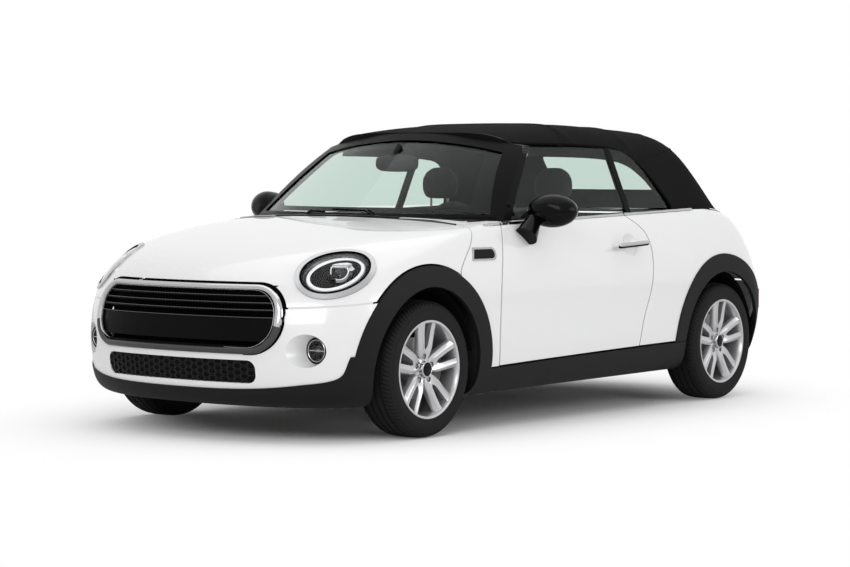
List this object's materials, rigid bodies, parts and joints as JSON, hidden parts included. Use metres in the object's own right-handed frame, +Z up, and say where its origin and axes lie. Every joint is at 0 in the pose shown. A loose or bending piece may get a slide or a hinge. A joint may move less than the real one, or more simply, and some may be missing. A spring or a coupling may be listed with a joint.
{
  "type": "compact convertible car",
  "caption": "Compact two-door convertible car with a closed fabric roof, framed grille, oval headlamps, plastic arch trims and cast wheels.",
  "frame": {"origin": "on the ground below the middle of the car's bounding box", "axes": "+Z up, -Y towards the car's front, +X towards its left side"},
  "size_m": [2.0104, 3.831, 1.4254],
  "materials": {
    "body_paint": "glossy white paint",
    "black_plastic": "grained black plastic",
    "bright_trim": "satin chrome",
    "lamp_body": "dark grey lamp housing",
    "lamp_glass": "clear lens",
    "red_lamp": "red lens",
    "gloss_black": "gloss black",
    "window_glass": "lightly tinted glass",
    "roof_fabric": "black woven roof fabric",
    "tyre": "black rubber",
    "alloy": "silver cast alloy",
    "cast_metal": "dark cast metal",
    "floor_steel": "black sealed steel",
    "exhaust_steel": "dull steel",
    "cabin_plastic": "black soft plastic",
    "seat_cloth": "dark seat cloth"
  },
  "bodies": {
    "body": {"quarter_panels": "body_paint", "front_wings": "body_paint", "front_bumper": "body_paint", "rear_bumper": "body_paint", "skirts": "black_plastic", "arch_trims": "black_plastic", "wheel_liners": "black_plastic", "grille_frame": "bright_trim", "grilles": "black_plastic", "headlamps": "lamp_body", "lamp_lenses": "lamp_glass", "fog_lamps": "lamp_body", "tail_lamps": "red_lamp", "windscreen_frame": "gloss_black", "windscreen": "window_glass", "soft_top": "roof_fabric", "rear_glass": "window_glass", "front_subframe": "cast_metal", "rear_axle": "cast_metal", "floor_pan": "floor_steel", "engine_block": "cast_metal", "exhaust": "exhaust_steel", "dashboard": "cabin_plastic", "front_seats": "seat_cloth", "rear_bench": "seat_cloth"},
    "bonnet_lid": {"bonnet": "body_paint", "lamp_rings": "bright_trim"},
    "boot_lid": {"tailgate": "body_paint"},
    "left_door": {"door_left": "body_paint", "door_glass_left": "window_glass", "mirror_left": "gloss_black"},
    "right_door": {"door_right": "body_paint", "door_glass_right": "window_glass", "mirror_right": "gloss_black"},
    "left_steer": {"knuckle_left": "cast_metal"},
    "right_steer": {"knuckle_right": "cast_metal"},
    "steering": {"steering_wheel": "cabin_plastic"},
    "front_left_wheel": {"tyre_front_left": "tyre", "wheel_front_left": "alloy"},
    "front_right_wheel": {"tyre_front_right": "tyre", "wheel_front_right": "alloy"},
    "rear_left_wheel": {"tyre_rear_left": "tyre", "wheel_rear_left": "alloy"},
    "rear_right_wheel": {"tyre_rear_right": "tyre", "wheel_rear_right": "alloy"}
  },
  "joints": [
    {"name": "open_bonnet", "type": "hinge", "parent": "body", "child": "bonnet_lid", "pos_m": [0, -0.6215, 0.95], "axis": [-1, 0, 0], "range_deg": [0, 45]},
    {"name": "open_tailgate", "type": "hinge", "parent": "body", "child": "boot_lid", "pos_m": [0, 1.885, 0.6081], "axis": [-1, 0, 0], "range_deg": [0, 85]},
    {"name": "open_left_door", "type": "hinge", "parent": "body", "child": "left_door", "pos_m": [0.862, -0.6405, 0.6], "axis": [0, 0, -1], "range_deg": [0, 65]},
    {"name": "open_right_door", "type": "hinge", "parent": "body", "child": "right_door", "pos_m": [-0.862, -0.6405, 0.6], "axis": [0, 0, 1], "range_deg": [0, 65]},
    {"name": "steer_left", "type": "hinge", "parent": "body", "child": "left_steer", "pos_m": [0.65441, -1.1515, 0.305], "axis": [-0.2524, 0, 0.9676], "range_deg": [-35, 35]},
    {"name": "steer_right", "type": "hinge", "parent": "body", "child": "right_steer", "pos_m": [-0.65441, -1.1515, 0.305], "axis": [0.2524, 0, 0.9676], "range_deg": [-36, 36]},
    {"name": "turn_steering_wheel", "type": "hinge", "parent": "body", "child": "steering", "pos_m": [0.37, -0.2915, 0.852], "axis": [0, 0.9135, 0.4067], "range_deg": [-500, 500]},
    {"name": "roll_front_left", "type": "hinge", "parent": "left_steer", "child": "front_left_wheel", "pos_m": [0.7505, -1.1515, 0.305], "axis": [1, 0, 0], "continuous": true},
    {"name": "roll_rear_left", "type": "hinge", "parent": "body", "child": "rear_left_wheel", "pos_m": [0.7505, 1.3435, 0.305], "axis": [1, 0, 0], "continuous": true},
    {"name": "roll_front_right", "type": "hinge", "parent": "right_steer", "child": "front_right_wheel", "pos_m": [-0.7505, -1.1515, 0.305], "axis": [1, 0, 0], "continuous": true},
    {"name": "roll_rear_right", "type": "hinge", "parent": "body", "child": "rear_right_wheel", "pos_m": [-0.7505, 1.3435, 0.305], "axis": [1, 0, 0], "continuous": true}
  ],
  "couplings": [
    {"joint": "steer_right", "follows": "steer_left", "ratio": 1},
    {"joint": "turn_steering_wheel", "follows": "steer_left", "ratio": -14}
  ]
}
